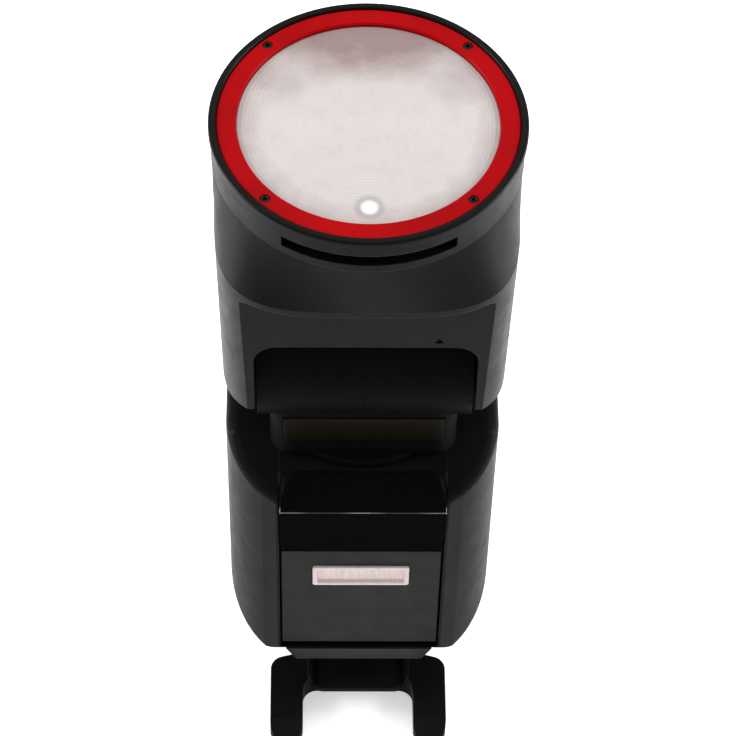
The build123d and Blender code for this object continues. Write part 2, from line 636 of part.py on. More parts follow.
def foot_pieces():
    """Foot block, steel plate, contacts, lock lever and lock pin."""
    half, slope = 20.4, 2.8
    chin = block((-half, half), (-27.6, 19), (chin_low_z, body_low_z - 0.02))
    sides = make_face(Polyline((-half, body_low_z), (half, body_low_z), (half - slope, chin_low_z),
                               (-half + slope, chin_low_z), close=True))
    chin &= extrude(Plane.XZ * sides, 60, both=True)
    lower = soft_block((-10.2, 10.2), (-13, 14), (foot_low_z, chin_low_z + 1), 3, Axis.Z)
    foot = chin + lower + block((-6.0, 6.0), (-8.6, 8.6), (plate_z[1] + 0.02, foot_low_z + 1))
    head_z = chin_low_z + 1.4
    for x, y in foot_screw_places():
        foot -= rod((x, y, 10), (0, 0, 1), 1.45, 24)
        foot -= rod((x, y, 10), (0, 0, 1), 2.9, head_z + 1.2 - 10)
    pin_x, pin_y = shoe_pin_xy()
    foot -= rod((pin_x, pin_y, 10), (0, 0, 1), 1.6, 20)
    # Cut for the lock lever at the back
    lever_z = (foot_low_z + 1.0, foot_low_z + 4.4)
    foot -= rod((0, 10.5, lever_z[0]), (0, 0, 1), 7.3, lever_z[1] - lever_z[0])
    foot -= block((-30, 30), (10.5, 40), lever_z)
    save("foot_block", foot)
    plate = soft_block((-plate_half, plate_half), (-9, 9), plate_z, 1.5, Axis.Z)
    plate -= rod((pin_x, pin_y, 10), (0, 0, 1), 1.6, 20)
    contacts = Part()
    places = [(0, -4.0)] + [(x, y) for x in (-4.4, 4.4) for y in (-6.0, 0.2)]
    for x, y in places:
        plate -= rod((x, y, 10), (0, 0, 1), 0.95, plate_z[1] - 0.02 - 10)
        contacts += rod((x, y, plate_z[0] - 0.1), (0, 0, 1), 0.9, 2.0)
    save("shoe_plate", plate)
    save("shoe_contacts", contacts)
    screws = Part()
    for x, y in foot_screw_places():
        screws += rod((x, y, head_z), (0, 0, 1), 2.6, 1.1) + rod((x, y, head_z + 1), (0, 0, 1), 1.35, 8.0)
    save("foot_screws", screws)
    lever_low, lever_high = lever_z[0] + 0.35, lever_z[1] - 0.35
    lever = rod((0, 10.5, lever_low), (0, 0, 1), 6.9, lever_high - lever_low)
    lever += soft_block((-3.2, 3.2), (12, 25.5), (lever_low, lever_high), 1.5, Axis.Z)
    save("lock_lever", lever)
    save("lock_pin", rod((pin_x, pin_y, plate_z[0] + 0.2), (0, 0, 1), 1.4, 10.5))


def stand_pieces():
    """Moulded stand with a cold shoe, its brass thread and its rubber pads."""
    arm_back = -20.0
    plan = [(0, gap_back_y), (leg_inner, gap_back_y), (leg_inner, toe_y), (leg_outer, toe_y),
            (leg_outer, arm_back), (14.4, arm_back + 2.6), (18.0, 8), (18.0, 34), (0, 34)]
    half = make_face(Polyline(*plan, close=True))
    face = half + mirror(half, Plane.YZ)
    base = extrude(face, 30)
    uprights = base.edges().filter_by(Axis.Z)
    inner_corners = uprights.filter_by(lambda e: abs(e.center().Y - gap_back_y) < 0.1)
    base = fillet(inner_corners, 4.0)
    toes = base.edges().filter_by(Axis.Z).filter_by(lambda e: abs(e.center().Y - toe_y) < 0.1)
    base = fillet(toes, 2.4)
    shoulders = base.edges().filter_by(Axis.Z).filter_by(lambda e: abs(abs(e.center().X) - leg_outer) < 0.1
                                                         and abs(e.center().Y - arm_back) < 0.2)
    base = fillet(shoulders, 4.0)
    tail = base.edges().filter_by(Axis.Z).filter_by(lambda e: abs(e.center().Y - 34) < 0.1
                                                    and abs(e.center().X) > 10)
    base = fillet(tail, 8.0)
    top = [(toe_y - 1, 0), (toe_y, 1.2), (toe_y + 2.8, 8.0), (arm_back, 9.0), (-14, arm_z), (14, arm_z),
           (30, 5.2), (36, 4.4), (36, 0)]
    base &= side_prism(top, 40)
    deck_half, deck_back_y = 14.35, 12.6
    rim_z = deck_z + 1.4
    deck = block((-deck_half, deck_half), (deck_front_y, deck_back_y), (deck_z - deck_thick, deck_z))
    deck = fillet(deck.edges().filter_by(Axis.Z).sort_by(Axis.Y)[0:2], 4.5)
    plan_of_deck = deck.faces().sort_by(Axis.Z)[-1]
    rims = extrude(plan_of_deck, rim_z - deck_z) & block((deck_half - 1.3, 60), (-60, 60), (deck_z, rim_z))
    core = block((-deck_half, deck_half), (gap_back_y, deck_back_y), (arm_z - 1, deck_z))
    rails = block((plate_half + 0.15, 12.5), (-10, deck_back_y), (deck_z, rail_z[1]))
    rails += block((rail_gap, 12.5), (-10, 10.2), rail_z)
    stop = block((-12.5, 12.5), (9.4, deck_back_y), (deck_z, rim_z))
    base = base + deck + core + left_and_right(rims + rails) + stop
    base -= rod((0, 0, 0), (0, 0, 1), insert_r + 0.02, 8.2)
    pin_x, pin_y = shoe_pin_xy()
    base -= rod((pin_x, pin_y, deck_z - 2.6), (0, 0, 1), 1.8, 10)
    pad_r = 3.2
    pads = Part()
    for x, y in ((-20.3, -36.6), (20.3, -36.6), (-12.0, 27.0), (12.0, 27.0)):
        base -= rod((x, y, -1), (0, 0, 1), pad_r + 0.05, 1.8)
        pads += rod((x, y, 0), (0, 0, 1), pad_r, 0.8)
    base -= block((-60, 60), (-60, 60), (-5, 0.4))
    save("stand_base", base)
    save("stand_pads", pads)
    save("thread_insert", tube((0, 0, 0.5), (0, 0, 1), insert_r, thread_r, 7.5))


head_pieces()
rim_pieces()
optics()
neck_pieces()
housing_pieces()
window_pieces()
sub_flash_pieces()
rear_controls()
inner_parts()
foot_pieces()
stand_pieces()
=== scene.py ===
import bpy
import bmesh
import json
import math
from mathutils import Matrix, Vector


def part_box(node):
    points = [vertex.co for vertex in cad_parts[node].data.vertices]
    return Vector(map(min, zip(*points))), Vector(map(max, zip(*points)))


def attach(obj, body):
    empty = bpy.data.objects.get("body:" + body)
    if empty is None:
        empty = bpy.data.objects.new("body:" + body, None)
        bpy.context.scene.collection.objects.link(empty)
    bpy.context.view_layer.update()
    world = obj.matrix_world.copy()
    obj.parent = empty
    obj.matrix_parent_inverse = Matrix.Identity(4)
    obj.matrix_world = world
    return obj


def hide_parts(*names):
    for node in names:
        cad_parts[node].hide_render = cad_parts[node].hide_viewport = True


# Looks for the speedlight: finishes on the CAD nodes, and finer pieces in place of the plain ones.
# Metres, in the frame of the CAD: Z is up and 0 is the table, -Y is the front.

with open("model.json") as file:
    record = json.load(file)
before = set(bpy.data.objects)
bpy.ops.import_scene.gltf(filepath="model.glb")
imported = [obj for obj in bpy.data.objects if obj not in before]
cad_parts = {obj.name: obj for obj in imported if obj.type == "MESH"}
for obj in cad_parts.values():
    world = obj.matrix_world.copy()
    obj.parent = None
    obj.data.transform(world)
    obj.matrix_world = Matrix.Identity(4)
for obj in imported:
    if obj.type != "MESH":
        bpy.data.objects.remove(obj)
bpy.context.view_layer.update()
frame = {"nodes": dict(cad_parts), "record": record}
nodes = frame["nodes"]

MM = 0.001
RIM_LOW, RIM_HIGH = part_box("rim_collar")
HEAD_Y = (RIM_LOW[1] + RIM_HIGH[1]) / 2      # the head's own axis
TOP_Z = RIM_HIGH[2]


# ---------------------------------------------------------------- node materials

class Finish:
    """A node material under construction, with its shader and short calls to add nodes."""

    def __init__(self, name):
        self.material = bpy.data.materials.new(name)
        self.material.use_nodes = True
        self.tree = self.material.node_tree
        self.shader = self.tree.nodes["Principled BSDF"]
        self.place = self.add("ShaderNodeTexCoord").outputs["Object"]

    def add(self, kind, **settings):
        node = self.tree.nodes.new(kind)
        for key, value in settings.items():
            setattr(node, key, value)
        return node

    def link(self, source, target):
        self.tree.links.new(source, target)

    def put(self, target, value):
        """Link an output to a socket, or set a plain value on it."""
        if isinstance(value, bpy.types.NodeSocket):
            self.link(value, target)
        else:
            target.default_value = value

    def set(self, **values):
        """Plain values on the shader's own sockets."""
        for key, value in values.items():
            self.shader.inputs[key.replace("_", " ")].default_value = value

    def stretched(self, x, y, z):
        """Object coordinates scaled along each axis."""
        node = self.add("ShaderNodeMapping")
        node.inputs["Scale"].default_value = (x, y, z)
        self.link(self.place, node.inputs["Vector"])
        return node.outputs["Vector"]

    def noise(self, size, detail=2.0, place=None):
        """Soft noise whose features are about size metres."""
        node = self.add("ShaderNodeTexNoise")
        node.inputs["Scale"].default_value = 1 / size
        node.inputs["Detail"].default_value = detail
        self.link(place or self.place, node.inputs["Vector"])
        return node.outputs["Fac"]

    def cells(self, size):
        """Distance to the nearest point of a random cell pattern."""
        node = self.add("ShaderNodeTexVoronoi")
        node.inputs["Scale"].default_value = 1 / size
        self.link(self.place, node.inputs["Vector"])
        return node.outputs["Distance"]

    def span(self, value, low, high, to_low, to_high):
        """Map low..high to to_low..to_high, clamped."""
        node = self.add("ShaderNodeMapRange")
        self.link(value, node.inputs["Value"])
        for key, number in (("From Min", low), ("From Max", high), ("To Min", to_low), ("To Max", to_high)):
            node.inputs[key].default_value = number
        return node.outputs["Result"]

    def maths(self, operation, first, second=0.0):
        node = self.add("ShaderNodeMath", operation=operation)
        self.put(node.inputs[0], first)
        self.put(node.inputs[1], second)
        return node.outputs["Value"]

    def axes(self):
        """X, Y and Z of the object coordinates."""
        node = self.add("ShaderNodeSeparateXYZ")
        self.link(self.place, node.inputs["Vector"])
        return node.outputs["X"], node.outputs["Y"], node.outputs["Z"]

    def times(self, first, second):
        return self.maths("MULTIPLY", first, second)

    def minus(self, first, second):
        return self.maths("SUBTRACT", first, second)

    def size(self, value):
        """The value without its sign."""
        return self.maths("ABSOLUTE", value)

    def distance(self, x, y):
        """Length of the vector (x, y)."""
        return self.maths("SQRT", self.maths("ADD", self.times(x, x), self.times(y, y)))

    def mix(self, factor, first, second):
        """Mix two colours."""
        node = self.add("ShaderNodeMix", data_type="RGBA")
        colour_sockets = [socket for socket in node.inputs if socket.type == "RGBA"]
        self.put(node.inputs[0], factor)
        for socket, value in zip(colour_sockets, (first, second)):
            self.put(socket, value)
        return next(socket for socket in node.outputs if socket.type == "RGBA")

    def edges(self, radius):
        """1 along sharp edges and 0 on the faces between, with the normal that rounds them."""
        bevel = self.add("ShaderNodeBevel", samples=6)
        bevel.inputs["Radius"].default_value = radius
        flat = self.add("ShaderNodeNewGeometry").outputs["Normal"]
        dot = self.add("ShaderNodeVectorMath", operation="DOT_PRODUCT")
        self.link(bevel.outputs["Normal"], dot.inputs[0])
        self.link(flat, dot.inputs[1])
        return self.span(dot.outputs["Value"], 0.80, 0.985, 1.0, 0.0), bevel.outputs["Normal"]

    def bump(self, height, distance, strength=1.0, normal=None):
        node = self.add("ShaderNodeBump")
        node.inputs["Strength"].default_value = strength
        node.inputs["Distance"].default_value = distance
        self.link(height, node.inputs["Height"])
        if normal is not None:
            self.link(normal, node.inputs["Normal"])
        return node.outputs["Normal"]


def grey(value, warm=0.0):
    """Opaque grey, a little warm above 0 and a little cold below."""
    return (value * (1 + warm), value, value * (1 - warm), 1.0)


def moulded(name, colour, rough=0.5, level=0.3, grain=0.30 * MM, deep=0.030 * MM, edge=0.35 * MM, wear=0.35,
            sheen=0.0):
    """Moulded plastic or rubber: spark texture, uneven gloss and lighter, rubbed edges."""
    finish = Finish(name)
    edge_mask, rounded = finish.edges(edge)
    patches = finish.noise(14 * MM, 4.0)
    scuffs = finish.noise(1.6 * MM, 3.0)
    light = tuple(min(1.0, part * 2.4 + 0.012) for part in colour[:3]) + (1.0,)
    dark = tuple(part * 0.82 for part in colour[:3]) + (1.0,)
    base = finish.mix(finish.span(patches, 0.35, 0.65, 0.0, 1.0), dark, colour)
    rubbed = finish.times(edge_mask, finish.span(scuffs, 0.35, 0.70, 0.2 * wear, wear))
    finish.link(finish.mix(rubbed, base, light), finish.shader.inputs["Base Color"])
    gloss = finish.span(finish.noise(5 * MM, 5.0), 0.3, 0.7, rough - 0.05, rough + 0.05)
    finish.link(finish.minus(gloss, finish.times(rubbed, 0.15)), finish.shader.inputs["Roughness"])
    pits = finish.maths("ADD", finish.cells(grain), finish.noise(grain * 2.2, 3.0))
    finish.link(finish.bump(pits, deep, 0.6, rounded), finish.shader.inputs["Normal"])
    finish.set(Specular_IOR_Level=level)
    if sheen:
        finish.set(Sheen_Weight=sheen, Sheen_Roughness=0.4)
    return finish.material


def polished(name, colour, rough=0.06, level=0.5, edge=0.35 * MM, alpha=1.0):
    """Smooth glossy plastic with hairline scratches and a little dust."""
    finish = Finish(name)
    edge_mask, rounded = finish.edges(edge)
    dust = finish.span(finish.noise(0.9 * MM, 6.0), 0.60, 0.80, 0.0, 0.30)
    pale = tuple(min(1.0, part * 1.6 + 0.02) for part in colour[:3]) + (1.0,)
    lighter = finish.maths("MAXIMUM", dust, finish.times(edge_mask, 0.25))
    finish.link(finish.mix(lighter, colour, pale), finish.shader.inputs["Base Color"])
    hairs = finish.noise(0.5 * MM, 4.0, finish.stretched(1.0, 0.12, 0.35))
    finish.link(finish.span(hairs, 0.3, 0.8, rough, rough + 0.10), finish.shader.inputs["Roughness"])
    waves = finish.noise(9 * MM, 1.0)
    finish.link(finish.bump(waves, 0.02 * MM, 0.25, rounded), finish.shader.inputs["Normal"])
    finish.set(Specular_IOR_Level=level, Alpha=alpha)
    return finish.material


def metal(name, colour, rough=0.3, brushed=(1.0, 1.0, 1.0), edge=0.2 * MM, deep=0.004 * MM):
    """Bare metal with a brushed or machined grain and brighter edges."""
    finish = Finish(name)
    edge_mask, rounded = finish.edges(edge)
    lines = finish.noise(0.35 * MM, 5.0, finish.stretched(*brushed))
    dull = tuple(part * 0.78 for part in colour[:3]) + (1.0,)
    bright = tuple(min(1.0, part * 1.15) for part in colour[:3]) + (1.0,)
    base = finish.mix(finish.span(lines, 0.3, 0.7, 0.0, 1.0), dull, colour)
    finish.link(finish.mix(edge_mask, base, bright), finish.shader.inputs["Base Color"])
    finish.link(finish.span(lines, 0.3, 0.7, rough - 0.06, rough + 0.08), finish.shader.inputs["Roughness"])
    finish.link(finish.bump(lines, deep, 0.5, rounded), finish.shader.inputs["Normal"])
    finish.set(Metallic=1.0)
    return finish.material


def clear(name, colour, alpha, rough=0.12):
    """Clear or frosted moulding, see-through by its alpha, with faint flow lines."""
    finish = Finish(name)
    flow = finish.noise(2.5 * MM, 4.0)
    milky = tuple(part * 0.93 for part in colour[:3]) + (1.0,)
    finish.link(finish.mix(finish.span(flow, 0.35, 0.65, 0.0, 1.0), milky, colour),
                finish.shader.inputs["Base Color"])
    finish.link(finish.span(flow, 0.3, 0.7, rough, rough + 0.08), finish.shader.inputs["Roughness"])
    finish.link(finish.bump(flow, 0.01 * MM, 0.6), finish.shader.inputs["Normal"])
    finish.set(Alpha=alpha, Specular_IOR_Level=0.5)
    return finish.material


def lens_finish():
    """Front lens, light and shade painted into its colour: painted light over the tube, a cross of painted
    brighter petals, a painted mauve shade towards the far side and rim, and a painted bright spot and dark
    ring at the modelling lamp near the front edge."""
    finish = Finish("lens")
    x, absolute_y = finish.axes()[:2]
    y = finish.minus(absolute_y, HEAD_Y)
    off_diagonal = finish.size(finish.minus(finish.size(x), finish.size(y)))
    # painted highlight: a cross of brighter petals along the diagonals
    petals = finish.span(off_diagonal, 0.0, 14 * MM, 1.0, 0.0)
    soft = finish.noise(4 * MM, 3.0)
    reach = finish.distance(x, y)
    # painted light over the tube in the middle, painted shade towards the far side and towards the rim
    middle = finish.span(reach, 4 * MM, 20 * MM, 1.0, 0.0)
    far = finish.span(y, 4 * MM, 24 * MM, 0.0, 1.0)
    rim = finish.span(reach, 25 * MM, 31 * MM, 0.0, 0.45)
    shade = finish.times(far, finish.minus(1.0, finish.times(petals, 0.55)))
    shade = finish.maths("MAXIMUM", finish.minus(shade, finish.times(middle, 0.6)), rim)
    shade = finish.maths("ADD", shade, finish.span(soft, 0.3, 0.7, -0.08, 0.10))
    # the painted light and shade, mixed from pale pink to dark mauve
    colour = finish.mix(shade, (0.66, 0.615, 0.60, 1.0), (0.33, 0.235, 0.225, 1.0))
    finish.link(finish.span(soft, 0.3, 0.7, 0.10, 0.18), finish.shader.inputs["Roughness"])
    lamp_low, lamp_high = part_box("modelling_lamp")
    from_lamp = finish.distance(x, finish.minus(absolute_y, (lamp_low[1] + lamp_high[1]) / 2))
    # painted highlight where the modelling lamp sits, inside a painted dark ring of shade (collar)
    glow = finish.span(from_lamp, 1.4 * MM, 2.4 * MM, 1.0, 0.0)
    collar = finish.times(finish.span(from_lamp, 3.0 * MM, 4.0 * MM, 0.38, 0.0), finish.minus(1.0, glow))
    colour = finish.mix(collar, colour, grey(0.22))
    finish.link(finish.mix(glow, colour, grey(0.95)), finish.shader.inputs["Base Color"])
    finish.set(Alpha=0.76, Specular_IOR_Level=0.35)
    return finish.material


def window_finish():
    """Near-black window, glossy above and dull below a crease, with a painted highlight along the crease,
    brightest in three places.
    """
    corners = nodes["assist_window"].data.vertices
    crease_z = min(corners, key=lambda corner: (round(corner.co.y, 5), -corner.co.z)).co.z
    finish = Finish("smoked_window")
    x, _, z = finish.axes()
    edge_mask, rounded = finish.edges(0.45 * MM)
    # painted highlight: a thin light line on the crease edge, brighter at the centre and at both ends
    near = finish.span(finish.size(finish.minus(z, crease_z)), 0.45 * MM, 0.80 * MM, 1.0, 0.0)
    across = finish.size(x)
    centre = finish.span(across, 1.5 * MM, 6.0 * MM, 1.0, 0.22)
    ends = finish.span(across, 14.0 * MM, 17.5 * MM, 0.22, 0.75)
    light = finish.times(finish.times(edge_mask, near), finish.maths("MAXIMUM", centre, ends))
    dust = finish.span(finish.noise(0.9 * MM, 6.0), 0.62, 0.80, 0.0, 0.006)
    finish.link(finish.mix(finish.maths("ADD", light, dust), grey(0.0026), grey(0.85)),
                finish.shader.inputs["Base Color"])
    finish.link(rounded, finish.shader.inputs["Normal"])
    finish.link(finish.span(z, crease_z - 0.2 * MM, crease_z + 0.2 * MM, 0.9, 0.06),
                finish.shader.inputs["Roughness"])
    finish.set(Specular_IOR_Level=0.004, Alpha=0.97)
    return finish.material


HEAD = moulded("head_plastic", grey(0.0026, -0.02), rough=0.42, level=0.085)
BODY = moulded("body_plastic", grey(0.0052, -0.02), rough=0.38, level=0.028)
NECK = moulded("neck_plastic", grey(0.0046), rough=0.42, level=0.012, deep=0.018 * MM)
RIM = moulded("rim_plastic", grey(0.0038, 0.10), rough=0.36, level=0.07, deep=0.012 * MM, edge=0.3 * MM)
MODULE = moulded("module_plastic", grey(0.0044, -0.03), rough=0.44, level=0.098, edge=0.4 * MM)
CHASSIS = moulded("chassis_plastic", grey(0.0060), rough=0.55, level=0.10)
FOOT = moulded("foot_plastic", grey(0.0110), rough=0.46, level=0.16)
STAND = moulded("stand_plastic", grey(0.0050), rough=0.44, level=0.020, edge=0.45 * MM)
BATTERY = moulded("battery_plastic", grey(0.0150), rough=0.52)
KEYS = moulded("key_plastic", grey(0.0130), rough=0.40, edge=0.25 * MM)
RUBBER = moulded("key_rubber", grey(0.0160), rough=0.68, level=0.25, grain=0.22 * MM, sheen=0.15, wear=0.2)
DIAL = moulded("dial_plastic", grey(0.0120), rough=0.36, level=0.4, edge=0.15 * MM)
BEARING = moulded("bearing_plastic", grey(0.62, 0.02), rough=0.42, level=0.5, wear=0.1)
SEAL = moulded("seal_rubber", (0.34, 0.06, 0.035, 1.0), rough=0.6, wear=0.1)
SLEEVE = polished("capacitor_sleeve", (0.012, 0.020, 0.060, 1.0), rough=0.22)
BOARD = polished("board", (0.010, 0.075, 0.028, 1.0), rough=0.30)
WINDING = moulded("winding", (0.50, 0.33, 0.05, 1.0), rough=0.45, wear=0.1, grain=0.5 * MM)
# neck strip: a dark glossy trim whose brownish tint is a painted sheen
STRIP = polished("neck_strip", (0.0058, 0.0040, 0.0018, 1.0), rough=0.30, level=0.05)
SMOKED = window_finish()
ASSIST = polished("assist_lamp", (0.060, 0.010, 0.010, 1.0), rough=0.15)
RED = moulded("ring_red", (0.355, 0.0008, 0.0026, 1.0), rough=0.40, level=0.035, grain=0.16 * MM,
              deep=0.010 * MM, edge=0.25 * MM, wear=0.06)
SCREW = metal("black_screw", grey(0.020), rough=0.38)
STEEL = metal("steel", grey(0.52), rough=0.30, brushed=(1.0, 0.08, 1.0))
SOCKET = metal("socket_metal", grey(0.48), rough=0.22)
BRASS = metal("brass", (0.72, 0.50, 0.20, 1.0), rough=0.28)
ALUMINIUM = metal("polished_reflector", grey(0.90), rough=0.22, edge=0.3 * MM, deep=0.002 * MM)
TUBE = clear("tube_glass", (0.86, 0.84, 0.88, 1.0), 0.45, rough=0.05)
LENS = lens_finish()
MODULE_LENS = clear("module_lens", (0.93, 0.80, 0.78, 1.0), 0.72, rough=0.10)
LAMP = clear("lamp", (0.95, 0.94, 0.91, 1.0), 1.0, rough=0.18)
GLASS = polished("screen_glass", grey(0.004), rough=0.05, alpha=0.30)
SCREEN = polished("screen", (0.19, 0.21, 0.19, 1.0), rough=0.35)
LIT_KEY = polished("lit_key", (0.42, 0.055, 0.035, 1.0), rough=0.22)
PRINT = moulded("printed_mark", grey(0.62), rough=0.5, level=0.3, wear=0.0)
SEGMENT = moulded("screen_segment", grey(0.012), rough=0.4, level=0.3, wear=0.0)

FINISHES = {
    "head_plastic": HEAD, "body_plastic": BODY, "neck_plastic": NECK, "neck_strip": STRIP,
    "rim_plastic": RIM, "ring_red": RED, "black_screw": SCREW, "lens": LENS, "lamp": LAMP,
    "smoked_window": SMOKED,
    "assist_lamp": ASSIST, "module_plastic": MODULE, "module_lens": MODULE_LENS,
    "polished_reflector": ALUMINIUM, "tube_glass": TUBE, "seal_rubber": SEAL, "screen_glass": GLASS,
    "screen": SCREEN, "key_rubber": RUBBER, "key_plastic": KEYS, "lit_key": LIT_KEY, "dial_plastic": DIAL,
    "chassis_plastic": CHASSIS, "foot_plastic": FOOT, "stand_plastic": STAND, "battery_plastic": BATTERY,
    "bearing_plastic": BEARING, "steel": STEEL, "socket_metal": SOCKET, "brass": BRASS, "board": BOARD,
    "capacitor_sleeve": SLEEVE, "winding": WINDING,
}
for part in frame["record"]["subparts"]:
    slots = nodes[part["node"]].data.materials
    for index in range(len(slots)):
        slots[index] = FINISHES[part["material_slot"]]


# ---------------------------------------------------------------- mesh helpers

def add_piece(name, mesh, material, body, replaced=(), smooth=35):
    """Link a finished mesh as a piece that rides on a body."""
    piece = bpy.data.objects.new(name, mesh)
    bpy.context.scene.collection.objects.link(piece)
    mesh.materials.append(material)
    if smooth:
        mesh.shade_smooth()
        mesh.set_sharp_from_angle(angle=math.radians(smooth))
    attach(piece, body)
    if replaced:
        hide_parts(*replaced)
    return piece


def to_mesh(bm, name):
    """Mesh with outward normals and no doubled points."""
    bmesh.ops.remove_doubles(bm, verts=bm.verts, dist=1e-7)
    bmesh.ops.recalc_face_normals(bm, faces=bm.faces)
    mesh = bpy.data.meshes.new(name)
    bm.to_mesh(mesh)
    bm.free()
    return mesh


def on_circle(centre, radius, turn, z):
    """Point on a level circle."""
    return (centre[0] + radius * math.cos(turn), centre[1] + radius * math.sin(turn), z)


def lathe(bm, profile, centre, steps):
    """Closed solid of revolution about a vertical axis, from a closed loop of (radius, z)."""
    rings = []
    for radius, z in profile:
        if radius < 1e-7:
            rings.append([bm.verts.new((centre[0], centre[1], z))])
            continue
        ring = []
        for step in range(steps):
            turn = 2 * math.pi * step / steps
            ring.append(bm.verts.new(on_circle(centre, radius, turn, z)))
        rings.append(ring)
    for lower, upper in zip(rings, rings[1:] + rings[:1]):
        if len(lower) == 1 and len(upper) == 1:
            continue
        for step in range(steps):
            after = (step + 1) % steps
            corners = [lower[step % len(lower)], lower[after % len(lower)],
                       upper[after % len(upper)], upper[step % len(upper)]]
            bm.faces.new(list(dict.fromkeys(corners)))


def slab(bm, low, high):
    """Box between two corners."""
    centre = [(a + b) / 2 for a, b in zip(low, high)]
    size = [b - a for a, b in zip(low, high)]
    matrix = Matrix.Translation(centre) @ Matrix.Diagonal((*size, 1.0))
    return bmesh.ops.create_cube(bm, size=1.0, matrix=matrix)["verts"]


# ---------------------------------------------------------------- finer pieces

def make_lens():
    """Front lens with concentric prisms below and shallow rings on its gently domed face."""
    low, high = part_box("fresnel_lens")
    centre = (0.0, HEAD_Y)
    flange_r = high[0]
    window_r = 31.1 * MM
    seat_z = 213.15 * MM
    pitch = 0.9 * MM
    bm = bmesh.new()
    profile = [(flange_r, low[2]), (flange_r, seat_z), (window_r, seat_z), (window_r, high[2] - 0.45 * MM)]
    rings = int(window_r / pitch)
    for ring in range(rings, 0, -1):
        radius = ring * pitch - 0.15 * pitch
        crown = high[2] - 0.10 * MM - 0.35 * MM * (radius / window_r) ** 2
        profile.append((radius, crown))
        profile.append((radius - pitch / 2, crown + 0.07 * MM))
    profile.append((0.0, high[2] - 0.02 * MM))
    prism_z = low[2] + 1.6 * MM
    profile.append((0.0, prism_z))
    for ring in range(1, rings - 1):
        radius = ring * pitch
        depth = 0.10 * MM + 0.45 * MM * radius / window_r
        profile.append((radius, prism_z - depth))
        profile.append((radius + 0.02 * MM, prism_z))
    profile += [(rings * pitch - 0.5 * pitch, prism_z), (rings * pitch, low[2])]
    lathe(bm, profile, centre, 192)
    add_piece("lens_front", to_mesh(bm, "lens_front"), LENS, "head", ("fresnel_lens",), smooth=3)


def make_reflector():
    """Bowl of pressed facets round the flash tube, with a flat lip joining its inner and outer walls."""
    low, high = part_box("reflector")
    deep = high[2] - low[2]
    mouth = high[0] - 1.0 * MM
    centre = (0.0, HEAD_Y)
    petals = 24
    rows = 9
    wall = 0.7 * MM
    bm = bmesh.new()
    inner, outer = [], []
    for row in range(rows + 1):
        rise = deep * row / rows
        radius = mouth * math.sqrt((rise + 2 * MM) / (deep + 2 * MM))
        ring, back = [], []
        for petal in range(petals * 2):
            turn = math.pi * petal / petals
            inset = 1.0 - 0.018 * (petal % 2)
            ring.append(bm.verts.new(on_circle(centre, radius * inset, turn, low[2] + rise)))
            back.append(bm.verts.new(on_circle(centre, radius + wall, turn, low[2] + rise)))
        inner.append(ring)
        outer.append(back)
    count = petals * 2
    for step in range(count):
        after = (step + 1) % count
        for row in range(rows):
            bm.faces.new((inner[row][step], inner[row + 1][step], inner[row + 1][after], inner[row][after]))
            bm.faces.new((outer[row][after], outer[row + 1][after], outer[row + 1][step], outer[row][step]))
        bm.faces.new((inner[rows][step], outer[rows][step], outer[rows][after], inner[rows][after]))
        bm.faces.new((inner[0][after], outer[0][after], outer[0][step], inner[0][step]))
    # the bright metal inside; the outside takes the dark chassis finish as painted shade on the back of the
    # bowl
    for face in bm.faces:
        middle = face.calc_center_median()
        inward = face.normal.x * middle.x + face.normal.y * (middle.y - HEAD_Y) < 0
        face.material_index = 0 if inward else 1
    bowl = add_piece("reflector_bowl", to_mesh(bm, "reflector_bowl"), ALUMINIUM, "zoom_carriage",
                     ("reflector",), smooth=12)
    bowl.data.materials.append(CHASSIS)


def socket_screw(bm, centre, z, radius, height, socket, deep):
    """Screw head with a rounded edge and a hexagonal socket."""
    steps = 48
    levels = [(radius * 0.97, z), (radius, z + 0.2 * height), (radius, z + 0.7 * height),
              (radius * 0.93, z + 0.92 * height), (radius * 0.80, z + height)]
    rings = []
    for reach, level in levels:
        rings.append([bm.verts.new(on_circle(centre, reach, 2 * math.pi * step / steps, level))
                      for step in range(steps)])
    for level in (z + height, z + height - deep):
        ring = []
        for step in range(steps):
            turn = 2 * math.pi * step / steps
            side = (turn % (math.pi / 3)) - math.pi / 6
            reach = socket * math.cos(math.pi / 6) / math.cos(side)
            ring.append(bm.verts.new(on_circle(centre, reach, turn, level)))
        rings.append(ring)
    for lower, upper in zip(rings, rings[1:]):
        for step in range(steps):
            after = (step + 1) % steps
            bm.faces.new((lower[step], lower[after], upper[after], upper[step]))
    bm.faces.new(rings[0])
    bm.faces.new(rings[-1])


def make_ring_screws():
    """Four small socket screws in the coloured ring."""
    low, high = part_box("ring_screws")
    head_r = 1.2 * MM
    reach = high[0] - head_r
    bm = bmesh.new()
    for x in (-reach, reach):
        for y in (HEAD_Y - reach, HEAD_Y + reach):
            socket_screw(bm, (x, y), high[2] - 0.9 * MM, head_r, 0.9 * MM, 0.62 * MM, 0.6 * MM)
    add_piece("ring_screw_heads", to_mesh(bm, "ring_screw_heads"), SCREW, "head",
              ("ring_screws",))


def rounded_outline(half_x, half_z, radius, steps=6):
    """Corner points of a rounded rectangle, anticlockwise in x and z."""
    points = []
    for corner, (side_x, side_z) in enumerate(((1, 1), (-1, 1), (-1, -1), (1, -1))):
        for step in range(steps + 1):
            turn = math.pi / 2 * (corner + step / steps)
            points.append((side_x * (half_x - radius) + radius * math.cos(turn),
                           side_z * (half_z - radius) + radius * math.sin(turn)))
    return points


